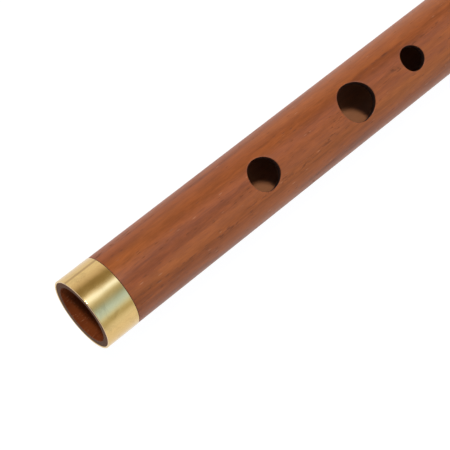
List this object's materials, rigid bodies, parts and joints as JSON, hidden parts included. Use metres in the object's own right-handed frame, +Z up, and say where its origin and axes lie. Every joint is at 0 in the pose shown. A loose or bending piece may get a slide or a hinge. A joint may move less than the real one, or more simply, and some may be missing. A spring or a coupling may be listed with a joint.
{
  "type": "wooden whistle",
  "caption": "End-blown wooden whistle with a row of finger holes, brass ferrules, a brass tuning slide, and a beaked head with window, windway and fipple block.",
  "frame": {"origin": "on the surface that the whistle lies on, under the middle of its length", "axes": "+X along the bore from the foot to the beak, +Z up, the way the finger holes and the window face"},
  "size_m": [0.305, 0.0174, 0.0173],
  "materials": {
    "satin_hardwood": "oiled and rubbed to a satin",
    "block_cedar": "bare, smooth cut",
    "polished_brass": "polished",
    "slide_brass": "drawn tube, greased"
  },
  "bodies": {
    "body": {"body_tube": "satin_hardwood", "foot_ferrule": "polished_brass", "body_ferrule": "polished_brass", "slide_tube": "slide_brass"},
    "sleeve": {"slide_sleeve": "slide_brass"},
    "head": {"head_tube": "satin_hardwood", "head_ferrule": "polished_brass", "fipple_block": "block_cedar"}
  },
  "joints": [
    {"name": "tuning_slide", "type": "slide", "parent": "body", "child": "sleeve", "axis": [1, 0, 0], "range_m": [0, 0.012]},
    {"name": "head_turn", "type": "hinge", "parent": "sleeve", "child": "head", "pos_m": [0.0438, 0, 0.00868], "axis": [1, 0, 0], "continuous": true}
  ]
}
